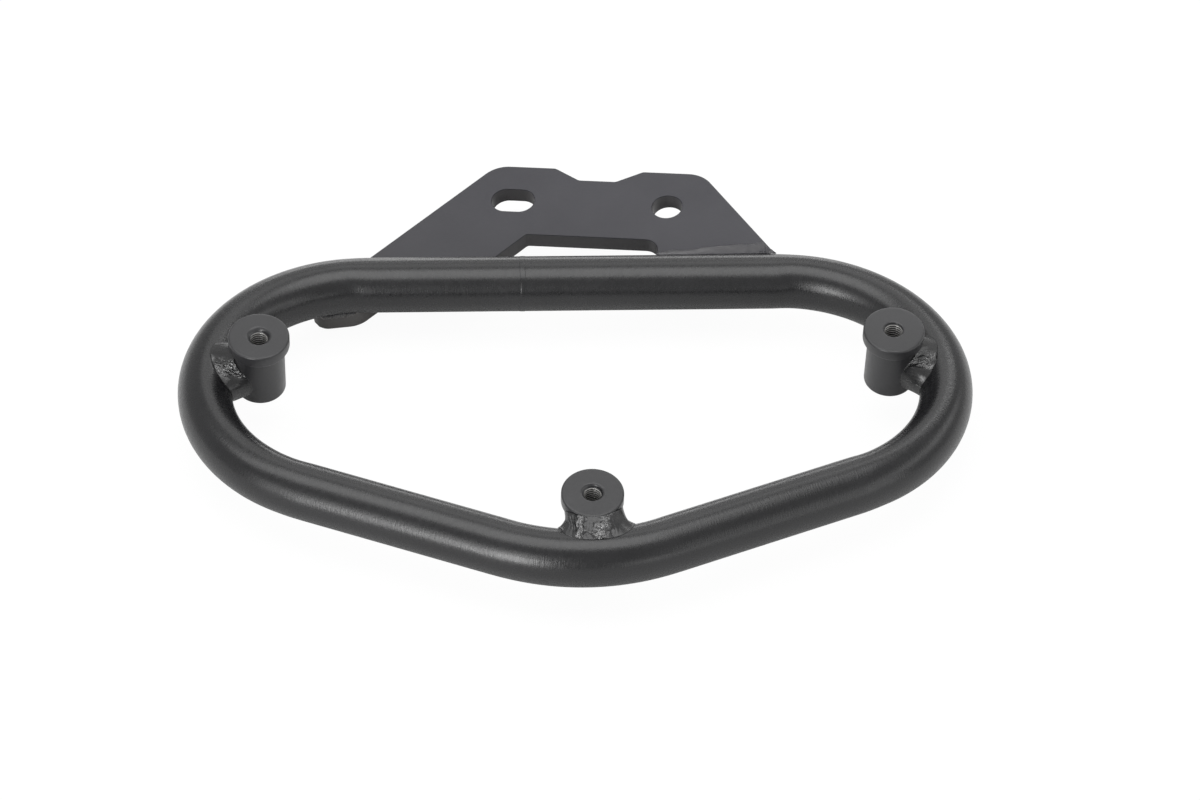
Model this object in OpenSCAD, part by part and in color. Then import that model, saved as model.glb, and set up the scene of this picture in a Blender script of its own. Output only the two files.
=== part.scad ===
// Side carrier for a soft pannier: a bent tube loop with three threaded bosses
// and a laser-cut plate that bolts to the motorbike.
// Origin: centre of the round bolt hole, on the upper face of the plate.
// X runs along the straight side of the loop, Z is square to the loop.

/* [Tube loop] */
// Outer diameter of the tube
tube_d = 18; // [14:0.5:24]
// Wall of the tube
tube_wall = 2; // [1.2:0.1:3]
// Straight side of the loop, between its two bends
straight_l = 137; // [110:1:180]
// Centreline radius of the two side bends
side_r = 50; // [42:1:65]
// Angle turned by each side bend
side_turn = 157; // [150:1:162]
// Centreline radius of the front bend
front_r = 65; // [45:1:90]
// Loss of bar radius where the tube is drawn round a bend
bend_draw = 0.15; // [0.02:0.01:0.3]
// Place of the butt joint along the straight side, from its middle
joint_x = -17; // [-45:1:45]
// Root gap of the butt joint, filled by its weld
joint_gap = 1.6; // [0.8:0.1:3]

/* [Threaded bosses] */
// Diameter of the flange that the pannier plate sits on
flange_d = 19.5; // [18:0.5:26]
// Thickness of the flange
flange_t = 4; // [2:0.5:6]
// Diameter of the boss body
boss_d = 16; // [12:0.5:17.5]
// Height of a boss over all
boss_h = 23.5; // [20:0.5:30]
// Core diameter of the M6 thread
core_d = 5; // [4:0.1:7]
// Diameter of the countersink over the thread
sink_d = 8; // [7.2:0.1:10]
// Edge chamfer of the boss
boss_edge = 0.5; // [0.2:0.1:1]
// Height of the boss faces over the loop's plane, at the straight side
face_rise = 24.8; // [23.5:0.1:28]
// Place of each side boss round its bend, from the end of the loop towards the straight side
side_boss_angle = 10; // [-10:1:20]
// Place of the front boss round the front bend, from its middle
front_boss_angle = 3; // [-8:1:8]
// Root gap between a boss and the tube
boss_gap = 0.1; // [0.05:0.05:0.3]

/* [Mounting plate] */
// Thickness of the plate
plate_t = 6; // [4:0.5:8]
// Round bolt hole
hole_d = 10.5; // [8.5:0.5:12.5]
// Width of the bolt slot
slot_w = 10.5; // [8.5:0.5:12.5]
// Length of the bolt slot, end to end
slot_l = 15; // [13:0.5:20]
// Distance between the round hole and the slot
hole_pitch = 52.3; // [48:0.1:58]
// Edge distance behind the holes
lobe_edge = 15.3; // [13:0.1:18]
// Depth of the waist between the two lobes
waist_depth = 5; // [2:0.5:7]
// Width of the floor of the waist
waist_w = 13; // [8:0.5:18]
// Place of the waist, left of the round hole
waist_x = 25.4; // [22:0.1:28]
// Angle of the sides of the waist
waist_angle = 30; // [20:1:45]
// Left corner of the plate, left of the slot
left_corner = 8.1; // [7:0.1:14]
// Right corner of the plate, right of the round hole
right_corner = 10; // [7:0.1:14]
// Angle of the long left edge
left_angle = 51; // [46:1:55]
// Angle of the right edge
right_angle = 50; // [42:1:58]
// Radius of the two upper corners
corner_r = 10; // [4:0.5:12]
// Radius of the waist's corners
waist_r = 2.5; // [1:0.5:4]
// Upper edge of the notch, in front of the holes
notch_edge = 15; // [13:0.1:18]
// Width of the arm, left of the notch
arm_w = 30.7; // [26:0.1:36]
// Inner edge of the right leg, left of the round hole
leg_in = 0.4; // [0:0.1:5]
// Radius of the notch's right corner
notch_r = 5; // [2:0.5:8]
// Width of the tab that passes under the tube
tab_w = 16; // [12:0.5:20]
// Reach of the tab past the middle of the tube
tab_reach = 2.9; // [0:0.1:4]
// Radius of the tab's corners
tab_r = 5; // [2:0.5:6]

/* [Plate to loop] */
// Tilt of the plate and of the bosses against the loop
lean = 6.2; // [4:0.1:7]
// Tilt of the plate along the straight side, left end down
plate_roll = 7; // [5:0.1:8.5]
// Turn of the line of holes against the straight side
plate_yaw = 11.3; // [8:0.1:14]
// Round hole, right of the middle of the straight side
hole_x = 32.9; // [28:0.1:37]
// Round hole, behind the middle of the tube
hole_y = 31.3; // [29:0.1:36]
// Upper face at the round hole, over the loop's plane
hole_z = 6; // [5:0.1:7]

/* [Welds] */
// Radius of the weld metal between boss and tube, all round the place where they touch
root_weld_r = 5.5; // [4:0.1:6.5]
// Depth of its middle under the loop's plane
root_weld_drop = 0.8; // [0:0.1:2]
// Reach of the upper fillet at the two side bosses
side_fillet_r = 9.5; // [7:0.1:11]
// Greatest radius of the fillet along the tube at the front boss
front_fillet_r = 7.5; // [6:0.1:7.8]
// Reach of that fillet to either side of the boss axis
front_fillet_reach = 13; // [11:0.1:15]
// Distance of its axis outside the flange's rim
front_fillet_out = 1; // [0:0.1:1.5]
// Radius of the beads along the plate
bead_r = 4; // [3:0.1:5]
// Crown of the butt weld over the tube
crown = 0.35; // [0.1:0.05:0.8]
// Length of the leg's weld past the round hole, to the left
leg_weld_left = 3.4; // [0:0.1:6]
// Length of the leg's weld past the round hole, to the right
leg_weld_right = 33; // [20:0.5:38]
// Left end of the weld behind the tube where the arm passes under it, left of the middle
arm_weld_left = 69; // [60:0.5:74]
// Right end of that weld, left of the middle
arm_weld_right = 38; // [30:0.5:50]
// Left end of the weld in front of the tube where the arm's tab shows, left of the middle
tab_weld_left = 83; // [78:0.5:86]
// Right end of that weld, left of the middle
tab_weld_right = 73.5; // [68:0.5:77]
// Radius of the tab's weld
tab_bead_r = 3; // [2:0.1:4]

/* [Hidden] */
$fn = 96;
black_coat = [0.13, 0.13, 0.14];
weld_coat = [0.18, 0.18, 0.19];
eps = 0.01;
// Reach of each straight run into the bends beside it
lap = 0.2;
// Largest step along a rounded corner of the plate
arc_step = 6;

tube_r = tube_d / 2;
front_turn = 360 - 2 * side_turn;
// Corner of the loop's centreline triangle, beside the straight side
corner_x = straight_l / 2 + side_r * tan(side_turn / 2);
front_corner_y = -corner_x * tan(180 - side_turn);
front_centre_y = front_corner_y + front_r / cos(front_turn / 2);
side_l = corner_x / cos(180 - side_turn) - side_r * tan(side_turn / 2) - front_r * tan(front_turn / 2);
// Distance from the tube's centreline to a boss axis; the front boss leans towards the tube
side_boss_r = side_r - (tube_d + boss_d) / 2 - boss_gap;
front_boss_r = front_r - ((tube_d + boss_d) / 2 + boss_gap) / cos(lean);
slot_x = -hole_pitch;

// The straight side's middle is the origin of the loop's own frame
module in_loop() {
    translate([-hole_x, -hole_y, -hole_z]) children();
}

// The plate's own frame: X along the line of holes, Z out of its upper face
module in_plate() {
    rotate([lean, -plate_roll, 0]) rotate([0, 0, -plate_yaw]) children();
}

// Tube loop

// Places its children at the start of a side bend, with the bend's axis at their origin
module at_side_bend(side) {
    translate([side * straight_l / 2, -side_r, 0]) children();
}

// One bend of a round bar: radius of the bar, centreline radius, first angle and angle turned
module bar_bend(bar_r, bend_r, first, turn) {
    rotate([0, 0, first])
        rotate_extrude(angle = turn)
            translate([bend_r, 0]) circle(r = bar_r - bend_draw);
}

// The closed loop as a solid bar of any radius, in the loop's frame
module loop_bar(bar_r) {
    translate([-straight_l / 2 - lap, 0, 0])
        rotate([0, 90, 0]) cylinder(r = bar_r, h = straight_l + 2 * lap);
    at_side_bend(1) bar_bend(bar_r, side_r, 90 - side_turn, side_turn);
    at_side_bend(-1) bar_bend(bar_r, side_r, 90, side_turn);
    translate([0, front_centre_y, 0]) bar_bend(bar_r, front_r, 270 - front_turn / 2, front_turn);
    for (side = [-1, 1])
        at_side_bend(side)
            rotate([0, 0, 90 - side * side_turn])
                translate([side_r, side * lap, 0])
                    rotate([side * 90, 0, 0]) cylinder(r = bar_r, h = side_l + 2 * lap);
}

module tube_loop() {
    color(black_coat)
        in_loop()
            difference() {
                loop_bar(tube_r);
                loop_bar(tube_r - tube_wall);
                translate([joint_x, 0, 0]) cube([joint_gap, tube_d + 1, tube_d + 1], center = true);
            }
}

module loop_butt_weld() {
    color(weld_coat)
        in_loop()
            translate([joint_x, 0, 0])
                rotate([0, 90, 0])
                    difference() {
                        cylinder(r = tube_r + crown, h = joint_gap, center = true);
                        cylinder(r = tube_r - tube_wall, h = joint_gap + 1, center = true);
                    }
}

// Bosses

side_boss_x = straight_l / 2 + side_boss_r * cos(side_boss_angle);
side_boss_y = -side_r + side_boss_r * sin(side_boss_angle);
front_boss_x = front_boss_r * sin(front_boss_angle);
front_boss_y = front_centre_y - front_boss_r * cos(front_boss_angle);
left_foot = [-side_boss_x, side_boss_y];
right_foot = [side_boss_x, side_boss_y];
front_foot = [front_boss_x, front_boss_y];

// Height of a flange face over the loop's plane, measured along the boss axis
function face_height(foot) = face_rise + foot[1] * sin(lean);

// Places its children at the middle of a flange face, with Z along the boss axis
module at_face(foot) {
    in_loop()
        translate([foot[0], foot[1], 0])
            rotate([lean, 0, 0]) translate([0, 0, face_height(foot)]) children();
}

// Half section of a boss outside, from the bottom up to the flange face
module boss_profile() {
    polygon([
        [0, -boss_h],
        [boss_d / 2 - boss_edge, -boss_h],
        [boss_d / 2, -boss_h + boss_edge],
        [boss_d / 2, -flange_t],
        [flange_d / 2, -flange_t],
        [flange_d / 2, -boss_edge],
        [flange_d / 2 - boss_edge, 0],
        [0, 0]
    ]);
}

module boss_blank() {
    rotate_extrude() boss_profile();
}

module boss() {
    sink_depth = (sink_d - core_d) / 2;
    difference() {
        boss_blank();
        translate([0, 0, -boss_h - 1]) cylinder(d = core_d, h = boss_h + 2);
        translate([0, 0, -sink_depth]) cylinder(d1 = core_d, d2 = sink_d + 2 * eps, h = sink_depth + eps);
        translate([0, 0, -boss_h - eps])
            cylinder(d1 = core_d + 2 * boss_edge, d2 = core_d, h = boss_edge + eps);
    }
}

module left_boss() {
    color(black_coat) at_face(left_foot) boss();
}

module right_boss() {
    color(black_coat) at_face(right_foot) boss();
}

module front_boss() {
    color(black_coat) at_face(front_foot) boss();
}

// Weld between a boss and the tube: a round root and the fillet that is given as its children.
// The way from the boss foot to the tube is given by its angle in the loop's plane.
module boss_weld(foot, way) {
    color(weld_coat)
        difference() {
            union() {
                in_loop()
                    translate([foot[0], foot[1], -root_weld_drop])
                        rotate([0, 0, way])
                            rotate([0, 90, 0]) cylinder(r = root_weld_r, h = (tube_d + boss_d) / 2);
                in_loop() translate([foot[0], foot[1], 0]) rotate([0, 0, way]) children();
            }
            at_face(foot) {
                boss_blank();
                translate([0, 0, -boss_h - boss_d]) cylinder(d = boss_d, h = boss_h + boss_d);
            }
            in_loop() loop_bar(tube_r);
        }
}

module side_fillet() {
    translate([boss_d / 2, 0, 0]) sphere(r = side_fillet_r);
}

// A round body with pointed ends along Y: an arc turned about its own chord
module spindle(reach, r) {
    arc_r = (reach * reach + r * r) / (2 * r);
    rotate([90, 0, 0])
        rotate_extrude()
            intersection() {
                translate([r - arc_r, 0]) circle(r = arc_r);
                translate([0, -arc_r]) square([2 * r, 2 * arc_r]);
            }
}

// Lies in the hollow under the flange's rim and rises in front of it, as the flange is this near the tube
module front_fillet() {
    translate([flange_d / 2 + front_fillet_out, 0, (face_height(front_foot) - flange_t) / 2])
        spindle(front_fillet_reach, front_fillet_r);
}

module left_boss_weld() {
    boss_weld(left_foot, 180 - side_boss_angle) side_fillet();
}

module right_boss_weld() {
    boss_weld(right_foot, side_boss_angle) side_fillet();
}

module front_boss_weld() {
    boss_weld(front_foot, 270 + front_boss_angle) front_fillet();
}

// Mounting plate

// Unit vector at an angle
function way(a) = [cos(a), sin(a)];

// Where the line through p at angle a meets the line through q at angle b
function meet(p, a, q, b) =
    p + way(a) * ((q[0] - p[0]) * sin(b) - (q[1] - p[1]) * cos(b)) / sin(b - a);

// Point above the round hole's own X on the line that lies y behind the middle of the tube
function tube_line(y) = [0, (y - hole_y) / cos(lean) / cos(plate_yaw)];

// Front edge of the right leg, clear of the tube by the root gap of the bosses
leg_edge = tube_line(tube_r + boss_gap);
// Front edge of the arm: its upper corner meets the tube below its middle
arm_edge = tube_line(tube_r * 0.67);
tab_edge = tube_line(-tab_reach);

left_top = [slot_x - left_corner, lobe_edge];
right_top = [right_corner, lobe_edge];
waist_run = waist_depth / tan(waist_angle);
waist_left = -waist_x - waist_w / 2;
waist_right = -waist_x + waist_w / 2;
// Upper left corner of the notch, one arm's width from the long left edge
notch_left = [left_top[0] + arm_w / sin(left_angle) - (lobe_edge + notch_edge) / tan(left_angle), -notch_edge];
tab_inner = left_top + [tab_w / sin(left_angle), 0];

// Corners of the plate in turn, clockwise from the left: place and radius
plate_corners = [
    [left_top, corner_r],
    [[waist_left - waist_run, lobe_edge], waist_r],
    [[waist_left, lobe_edge - waist_depth], waist_r],
    [[waist_right, lobe_edge - waist_depth], waist_r],
    [[waist_right + waist_run, lobe_edge], waist_r],
    [right_top, corner_r],
    [meet(right_top, -right_angle, leg_edge, plate_yaw), 0],
    [meet([-leg_in, 0], 90, leg_edge, plate_yaw), 0],
    [[-leg_in, -notch_edge], notch_r],
    [notch_left, 1],
    [meet(notch_left, left_angle, arm_edge, plate_yaw), 0],
    [meet(tab_inner, left_angle, arm_edge, plate_yaw), 2],
    [meet(tab_inner, left_angle, tab_edge, plate_yaw), tab_r],
    [meet(left_top, left_angle, tab_edge, plate_yaw), tab_r]
];

// Points of the arc that rounds the corner v between its neighbours a and b
function round_corner(a, v, b, r) =
    let (
        da = (a - v) / norm(a - v),
        db = (b - v) / norm(b - v),
        half = acos(da * db) / 2,
        centre = v + (da + db) / norm(da + db) * r / sin(half),
        first = v + da * r / tan(half) - centre,
        turns_right = da[1] * db[0] - da[0] * db[1] < 0,
        turn = (turns_right ? -1 : 1) * (180 - 2 * half),
        steps = ceil(abs(turn) / arc_step),
        start = atan2(first[1], first[0])
    )
    [for (i = [0 : steps]) centre + r * way(start + turn * i / steps)];

// Outline through all corners, each rounded by its own radius
function rounded_outline(corners) =
    let (n = len(corners))
    [
        for (i = [0 : n - 1])
            each (corners[i][1] == 0
                ? [corners[i][0]]
                : round_corner(corners[(i + n - 1) % n][0], corners[i][0],
                               corners[(i + 1) % n][0], corners[i][1]))
    ];

// The plate without its holes, in its own frame
module plate_blank() {
    translate([0, 0, -plate_t]) linear_extrude(plate_t) polygon(rounded_outline(plate_corners));
}

module mounting_plate() {
    slot_run = slot_l - slot_w;
    color(black_coat)
        difference() {
            in_plate()
                difference() {
                    plate_blank();
                    translate([0, 0, -plate_t - 1]) cylinder(d = hole_d, h = plate_t + 2);
                    for (end = [-1, 1])
                        translate([slot_x + end * slot_run / 2, 0, -plate_t - 1])
                            cylinder(d = slot_w, h = plate_t + 2);
                    translate([slot_x - slot_run / 2, -slot_w / 2, -plate_t - 1])
                        cube([slot_run, slot_w, plate_t + 2]);
                }
            in_loop() loop_bar(tube_r);
        }
}

// Plate welds

// Height of the plate's upper face over the loop's plane, at a point of that plane
function face_z(x, y) =
    hole_z + (x - hole_x) * tan(plate_roll) + (y - hole_y) * tan(lean) / cos(plate_roll);

// A round bar that tapers to half its radius at both ends
module tapered_bar(length, r) {
    rotate_extrude()
        polygon([[0, 0], [r / 2, 0], [r, r], [r, length - r], [r / 2, length], [0, length]]);
}

// A round bead between two points of the loop's frame, less the tube and the plate
module bead(from, to, r) {
    run = to - from;
    length = norm(run);
    color(weld_coat)
        difference() {
            in_loop()
                translate(from)
                    rotate([0, acos(run[2] / length), atan2(run[1], run[0])]) tapered_bar(length, r);
            in_loop() loop_bar(tube_r);
            in_plate() plate_blank();
        }
}

// Everything over the plate's middle plane (side = 1) or under it (side = -1)
module plate_half(side) {
    reach = 2 * straight_l;
    in_plate()
        translate([0, 0, -plate_t / 2 + side * (reach / 2 + boss_gap)]) cube(reach, center = true);
}

// The straight side's rear line, a little inside the tube
weld_y = tube_r - bead_r / 8;
leg_x0 = hole_x - leg_weld_left;
leg_x1 = hole_x + leg_weld_right;

module leg_upper_weld() {
    intersection() {
        bead([leg_x0, weld_y, face_z(leg_x0, weld_y)],
             [leg_x1, weld_y - bead_r * 0.6, face_z(leg_x1, weld_y) - bead_r * 0.45], bead_r);
        plate_half(1);
    }
}

module leg_lower_weld() {
    drop = plate_t / cos(lean);
    intersection() {
        bead([leg_x0, weld_y, face_z(leg_x0, weld_y) - drop],
             [leg_x1, weld_y, face_z(leg_x1, weld_y) - drop], bead_r);
        plate_half(-1);
    }
}

module arm_weld() {
    x0 = -arm_weld_left;
    x1 = -arm_weld_right;
    y0 = tube_r * 0.4;
    y1 = tube_r * 0.72;
    bead([x0, y0, face_z(x0, y0)], [x1, y1, face_z(x1, y1)], bead_r);
}

module tab_weld() {
    x0 = -tab_weld_left;
    x1 = -tab_weld_right;
    y = -tab_reach * 0.7;
    bead([x0, y, face_z(x0, y) + tab_bead_r * 0.6], [x1, y, face_z(x1, y)], tab_bead_r);
}

tube_loop();
loop_butt_weld();
left_boss();
right_boss();
front_boss();
left_boss_weld();
right_boss_weld();
front_boss_weld();
mounting_plate();
leg_upper_weld();
leg_lower_weld();
arm_weld();
tab_weld();
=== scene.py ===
import math
import bmesh
import bpy
import numpy as np
from mathutils import Matrix, geometry


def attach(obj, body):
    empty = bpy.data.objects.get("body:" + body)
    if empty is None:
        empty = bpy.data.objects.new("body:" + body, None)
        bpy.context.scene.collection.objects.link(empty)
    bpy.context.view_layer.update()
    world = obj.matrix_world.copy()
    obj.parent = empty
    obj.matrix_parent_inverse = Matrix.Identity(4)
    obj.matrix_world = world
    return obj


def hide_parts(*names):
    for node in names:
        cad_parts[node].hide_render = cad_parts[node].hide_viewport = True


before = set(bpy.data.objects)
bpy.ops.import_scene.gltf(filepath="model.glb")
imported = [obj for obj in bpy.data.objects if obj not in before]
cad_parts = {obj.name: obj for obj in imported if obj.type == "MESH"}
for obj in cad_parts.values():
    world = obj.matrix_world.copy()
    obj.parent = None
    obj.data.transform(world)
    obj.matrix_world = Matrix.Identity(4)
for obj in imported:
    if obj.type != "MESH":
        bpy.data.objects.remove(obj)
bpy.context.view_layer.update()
print("frame loaded,", len(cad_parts), "nodes")

# All shapes are worked out in millimetres in the loop's own frame: X along the straight side,
# Z square to the loop, zero in the middle of the straight side. This moves them to the row frame.
loopPlace = {
    "boltHole": (32.9, 31.3, 6.0),   # where the row frame's zero lies, seen from the loop
    "lean": 6.2,                     # bosses and plate lean this much, in degrees
    "plateRoll": -7.0,
    "plateYaw": -11.3,
}


def toRow(points):
    return (np.asarray(points, float) - np.array(loopPlace["boltHole"])) * 0.001


def turn(axis, degrees):
    # rotation matrix about one of the three axes
    a = math.radians(degrees)
    c, s = math.cos(a), math.sin(a)
    if axis == "x":
        return np.array([[1, 0, 0], [0, c, -s], [0, s, c]])
    if axis == "y":
        return np.array([[c, 0, s], [0, 1, 0], [-s, 0, c]])
    return np.array([[c, -s, 0], [s, c, 0], [0, 0, 1]])


def smooth(x):
    # 0 below 0, 1 above 1, and 3x^2 - 2x^3 between
    x = np.clip(x, 0, 1)
    return x * x * (3 - 2 * x)


def ripple(x, y, seed, waves=7):
    # soft lumps: a sum of sines whose directions and phases come from a seeded table, about -1 to 1
    table = np.random.default_rng(seed).uniform(-1, 1, (waves, 3))
    total = sum(np.sin(x * (1 + k[0]) * 1.3 + y * k[1] * 2.2 + k[2] * 9) for k in table)
    return total / math.sqrt(waves)


def setMesh(name, points, faces, uv=None, share=None):
    # a mesh object with its map and finish share, tied to the frame's body
    mesh = bpy.data.meshes.new(name)
    mesh.from_pydata(points.tolist(), [], faces)
    mesh.polygons.foreach_set("use_smooth", np.ones(len(mesh.polygons), bool))
    if uv is not None:
        layer = mesh.uv_layers.new(name="coatMap")
        layer.data.foreach_set("uv", np.asarray(uv, np.float32).ravel())
    if share is not None:
        layer = mesh.attributes.new(name="finishShare", type="FLOAT", domain="POINT")
        layer.data.foreach_set("value", np.asarray(share, np.float32).ravel())
    mesh.validate()
    mesh.update()
    piece = bpy.data.objects.new(name, mesh)
    bpy.context.scene.collection.objects.link(piece)
    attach(piece, "root")
    return piece


def gridFaces(rows, columns, closeRows, closeColumns):
    # quads between neighbouring grid points, row by row, as an array of four corner numbers
    i = np.arange(rows if closeRows else rows - 1)
    j = np.arange(columns if closeColumns else columns - 1)
    a, b = np.meshgrid(i, j, indexing="ij")
    a2 = (a + 1) % rows
    b2 = (b + 1) % columns
    corners = [a * columns + b, a * columns + b2, a2 * columns + b2, a2 * columns + b]
    return np.stack(corners, -1).reshape(-1, 4)


def outwards(points, faces):
    # turns every face round if the closed surface's signed volume is below zero
    p = points[faces]
    volume = np.einsum("ij,ij->i", p[:, 0], np.cross(p[:, 1], p[:, 2])).sum()
    volume += np.einsum("ij,ij->i", p[:, 0], np.cross(p[:, 2], p[:, 3])).sum()
    return faces[:, ::-1] if volume < 0 else faces


def gridPiece(name, grid, closeRows=True, closeColumns=True, uvScale=None, share=None):
    # a surface from a grid of points (rows, columns, 3); open ends are closed by a fan to their middle.
    # uvScale is the size of a grid step in mm, and share a number for each point that steers the finish
    rows, columns = grid.shape[:2]
    points = toRow(grid.reshape(-1, 3))
    faces = gridFaces(rows, columns, closeRows, closeColumns)
    if not closeRows:
        ends = toRow(np.stack([grid[0].mean(0), grid[-1].mean(0)]))
        j = np.arange(columns)
        following = (j + 1) % columns
        lastRow = (rows - 1) * columns
        first = np.stack([np.full(columns, rows * columns), following, j, j], 1)
        last = np.stack([np.full(columns, rows * columns + 1), lastRow + j, lastRow + following,
                         lastRow + following], 1)
        points = np.concatenate([points, ends])
        faces = np.concatenate([faces, first, last])
        if share is not None:
            share = np.concatenate([share.ravel(), [0, 0]])
    faces = outwards(points - points.mean(0), faces)
    uv = None
    if uvScale is not None:
        corner = gridFaces(rows, columns, closeRows, closeColumns)
        corner = corner if (faces[0] == corner[0]).all() else corner[:, ::-1]
        u, v = corner // columns, corner % columns
        u = np.where((u == 0) & (u.max(1, keepdims=True) == rows - 1), rows, u)
        v = np.where((v == 0) & (v.max(1, keepdims=True) == columns - 1), columns, v)
        uv = np.stack([u * uvScale[0], v * uvScale[1]], -1)
    listed = [list(dict.fromkeys(f)) for f in faces.tolist()]
    return setMesh(name, points, listed, uv, share)


# coat and weld finishes. One black coat covers every part; its base tones differ from part to part as
# painted light and shade, lighter on the plate and bosses, darker on the tube

finishes = {
    "tube": {"dark": (0.0045, 0.0045, 0.0052), "light": (0.0085, 0.0085, 0.0094), "rough": (0.25, 0.31),
             "grain": 0.04, "streak": 0.12},
    "plate": {"dark": (0.022, 0.0216, 0.0272), "light": (0.029, 0.0284, 0.0344), "rough": (0.36, 0.42),
              "grain": 0.05, "specular": 0.45},
    "boss": {"dark": (0.016, 0.016, 0.0172), "light": (0.022, 0.022, 0.0236), "rough": (0.30, 0.36),
             "grain": 0.05},
    "weld": {"dark": (0.011, 0.011, 0.0116), "light": (0.019, 0.019, 0.0196), "rough": (0.24, 0.32),
             "grain": 0.06},
}
coatDetail = {
    "cloud": 45,              # noise scales, per metre: tone, gloss, orange peel and weld ripples
    "gloss": 700,
    "peel": 1150,
    "knobs": 640,
    "peelHeight": 0.0005,     # bump distances in metres
    "knobHeight": 0.0014,
    "toneEnds": (0.3, 0.7),   # parts of the noise that become the dark and the light tone
    "glossEnds": (0.35, 0.65),
    "beadPolish": -0.12,      # how much smoother a weld's ripples are
    "beadCoat": {"Coat Roughness": 0.12, "Coat IOR": 1.8},
    # a paler grey: on the plate's cut walls, and as painted light on the tab, the tab's weld and the leg
    # weld's middle
    "paleWallsAndPaintedLight": {"color": (0.078, 0.075, 0.073), "metallic": 0.0},
    "bareCrest": {"color": (0.55, 0.54, 0.52), "metallic": 0.6},
}


def coatFinish(name, finish, streakMap=None, bead=False, under=None):
    # powder coat: fine cloudy tone, orange-peel bump and slightly uneven gloss. Where a mesh carries a
    # share, bead roughens it into glossy ripples and under mixes in a second colour: bare steel on the
    # thread's crests, and on the plate a paler grey that is painted light on the tab and its welds
    d = coatDetail
    coat = bpy.data.materials.new(name)
    coat.use_nodes = True
    nodes = coat.node_tree.nodes
    links = coat.node_tree.links
    shader = nodes["Principled BSDF"]
    place = nodes.new("ShaderNodeTexCoord")

    def noise(scale, detail, rough=0.5, stretch=None, source="Object"):
        n = nodes.new("ShaderNodeTexNoise")
        n.inputs["Scale"].default_value = scale
        n.inputs["Detail"].default_value = detail
        n.inputs["Roughness"].default_value = rough
        if stretch:
            m = nodes.new("ShaderNodeMapping")
            m.inputs["Scale"].default_value = stretch
            links.new(place.outputs[source], m.inputs["Vector"])
            links.new(m.outputs["Vector"], n.inputs["Vector"])
        else:
            links.new(place.outputs[source], n.inputs["Vector"])
        return n

    cloud = noise(d["cloud"], 5)
    tone = nodes.new("ShaderNodeValToRGB")
    tone.color_ramp.elements[0].position = d["toneEnds"][0]
    tone.color_ramp.elements[0].color = (*finish["dark"], 1)
    tone.color_ramp.elements[1].position = d["toneEnds"][1]
    tone.color_ramp.elements[1].color = (*finish["light"], 1)
    links.new(cloud.outputs["Fac"], tone.inputs["Fac"])
    links.new(tone.outputs["Color"], shader.inputs["Base Color"])

    gloss = noise(d["gloss"], 3)
    roughness = nodes.new("ShaderNodeMapRange")
    roughness.inputs["From Min"].default_value = d["glossEnds"][0]
    roughness.inputs["From Max"].default_value = d["glossEnds"][1]
    roughness.inputs["To Min"].default_value = finish["rough"][0]
    roughness.inputs["To Max"].default_value = finish["rough"][1]
    links.new(gloss.outputs["Fac"], roughness.inputs["Value"])
    links.new(roughness.outputs["Result"], shader.inputs["Roughness"])

    peel = noise(d["peel"], 2, 0.6)
    bump = nodes.new("ShaderNodeBump")
    bump.inputs["Strength"].default_value = finish["grain"]
    bump.inputs["Distance"].default_value = d["peelHeight"]
    links.new(peel.outputs["Fac"], bump.inputs["Height"])
    last = bump
    if streakMap:
        drawn = noise(1, 3, 0.55, streakMap, "UV")
        lines = nodes.new("ShaderNodeBump")
        lines.inputs["Strength"].default_value = finish["streak"]
        lines.inputs["Distance"].default_value = d["peelHeight"]
        links.new(drawn.outputs["Fac"], lines.inputs["Height"])
        links.new(bump.outputs["Normal"], lines.inputs["Normal"])
        last = lines
    if bead or under:
        share = nodes.new("ShaderNodeAttribute")
        share.attribute_name = "finishShare"
    if bead:
        knobs = noise(d["knobs"], 2, 0.6)
        height = nodes.new("ShaderNodeMath")
        height.operation = "MULTIPLY"
        links.new(knobs.outputs["Fac"], height.inputs[0])
        links.new(share.outputs["Fac"], height.inputs[1])
        ripples = nodes.new("ShaderNodeBump")
        ripples.inputs["Strength"].default_value = 1.0
        ripples.inputs["Distance"].default_value = d["knobHeight"]
        links.new(height.outputs["Value"], ripples.inputs["Height"])
        links.new(last.outputs["Normal"], ripples.inputs["Normal"])
        last = ripples
        polish = nodes.new("ShaderNodeMath")
        polish.operation = "MULTIPLY_ADD"
        polish.inputs[1].default_value = d["beadPolish"]
        links.new(share.outputs["Fac"], polish.inputs[0])
        links.new(roughness.outputs["Result"], polish.inputs[2])
        links.new(polish.outputs["Value"], shader.inputs["Roughness"])
        links.new(share.outputs["Fac"], shader.inputs["Coat Weight"])
        for socket, value in d["beadCoat"].items():
            shader.inputs[socket].default_value = value
        links.new(last.outputs["Normal"], shader.inputs["Coat Normal"])
    if under:
        below = nodes.new("ShaderNodeMix")
        below.data_type = "RGBA"
        below.inputs["B"].default_value = (*under["color"], 1)
        links.new(share.outputs["Fac"], below.inputs["Factor"])
        links.new(tone.outputs["Color"], below.inputs["A"])
        links.new(below.outputs["Result"], shader.inputs["Base Color"])
        metal = nodes.new("ShaderNodeMath")
        metal.operation = "MULTIPLY"
        metal.inputs[1].default_value = under["metallic"]
        links.new(share.outputs["Fac"], metal.inputs[0])
        links.new(metal.outputs["Value"], shader.inputs["Metallic"])
    links.new(last.outputs["Normal"], shader.inputs["Normal"])
    shader.inputs["Specular IOR Level"].default_value = finish.get("specular", 0.5)
    return coat


tubeCoat = coatFinish("tubeCoat", finishes["tube"], streakMap=(2.2, 0.35, 1))
# the plate's coat mixes in the paler grey, which on the tab and its welds is painted light
plateCoat = coatFinish("plateCoat", finishes["plate"], under=coatDetail["paleWallsAndPaintedLight"])
bossCoat = coatFinish("bossCoat", finishes["boss"], under=coatDetail["bareCrest"])
weldCoat = coatFinish("weldCoat", finishes["weld"], bead=True)
print("finishes:", len(finishes))


def paint(piece, coat):
    piece.data.materials.clear()
    piece.data.materials.append(coat)


# bent tube

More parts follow.
